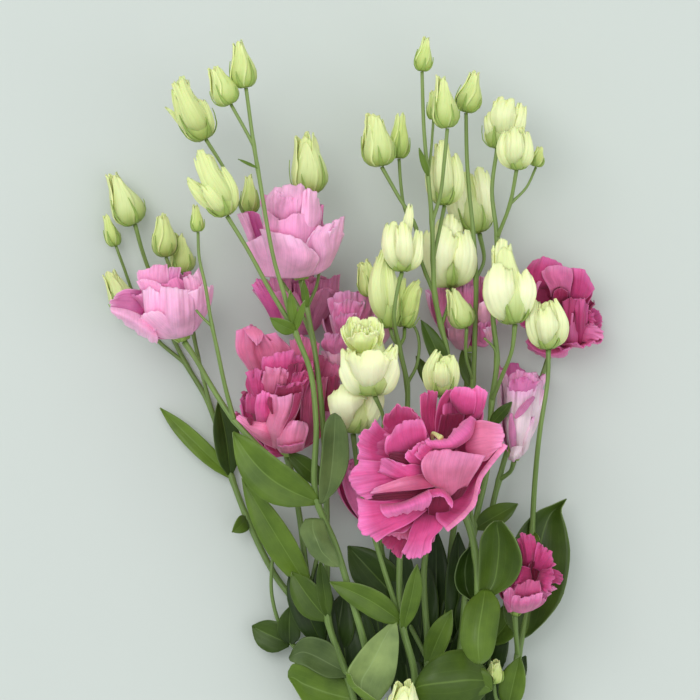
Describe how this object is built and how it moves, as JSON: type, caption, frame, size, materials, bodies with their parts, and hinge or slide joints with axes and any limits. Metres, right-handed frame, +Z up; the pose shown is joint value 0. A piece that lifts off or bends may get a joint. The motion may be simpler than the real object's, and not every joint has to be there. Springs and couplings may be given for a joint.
{
  "type": "lisianthus bunch",
  "caption": "Tied bunch of cut lisianthus lying on its back, with ruffled pink blooms, pale green buds and oval leaves on slender branching stems.",
  "frame": {"origin": "on the resting surface, at the middle of the tie's flat underside", "axes": "+Y runs along the bunch from the tie to the flower heads, +Z up from the surface it lies on, +X across to the right seen from above"},
  "size_m": [0.2507, 0.5405, 0.1148],
  "materials": {
    "stem_green": "smooth waxy leaf and stem tissue",
    "bud_green": "satin, pale green to cream bud tissue",
    "petal_light": "soft satin petals, light pink",
    "petal_deep": "soft satin petals, deep pink",
    "petal_dark": "soft satin petals, magenta",
    "tie_band": "plain woven band"
  },
  "bodies": {
    "root": {"bloom_01": "petal_light", "bloom_02": "petal_light", "bloom_03": "petal_deep", "bloom_04": "petal_deep", "bloom_05": "petal_deep", "bloom_06": "petal_deep", "bloom_07": "petal_dark", "bloom_08": "petal_deep", "bloom_09": "petal_light", "bloom_10": "petal_dark", "bloom_11": "petal_dark", "bud_01": "bud_green", "bud_02": "bud_green", "bud_03": "bud_green", "bud_04": "bud_green", "bud_05": "bud_green", "bud_06": "bud_green", "bud_07": "bud_green", "bud_08": "bud_green", "bud_09": "bud_green", "bud_10": "bud_green", "bud_11": "bud_green", "bud_12": "bud_green", "bud_13": "bud_green", "bud_14": "bud_green", "bud_15": "bud_green", "bud_16": "bud_green", "bud_17": "bud_green", "bud_18": "bud_green", "bud_19": "bud_green", "bud_20": "bud_green", "bud_21": "bud_green", "bud_22": "bud_green", "bud_23": "bud_green", "bud_24": "bud_green", "bud_25": "bud_green", "bud_26": "bud_green", "bud_27": "bud_green", "bud_28": "bud_green", "bud_29": "bud_green", "bud_30": "bud_green", "bud_31": "bud_green", "bud_32": "bud_green", "bud_33": "bud_green", "bud_34": "bud_green", "bud_35": "bud_green", "bud_36": "bud_green", "stem_a": "stem_green", "stem_b": "stem_green", "stem_c": "stem_green", "stem_d": "stem_green", "stem_e": "stem_green", "stem_f": "stem_green", "stem_g": "stem_green", "stem_h": "stem_green", "stem_i": "stem_green", "stem_j": "stem_green", "stem_k": "stem_green", "tie": "tie_band"}
  },
  "joints": []
}
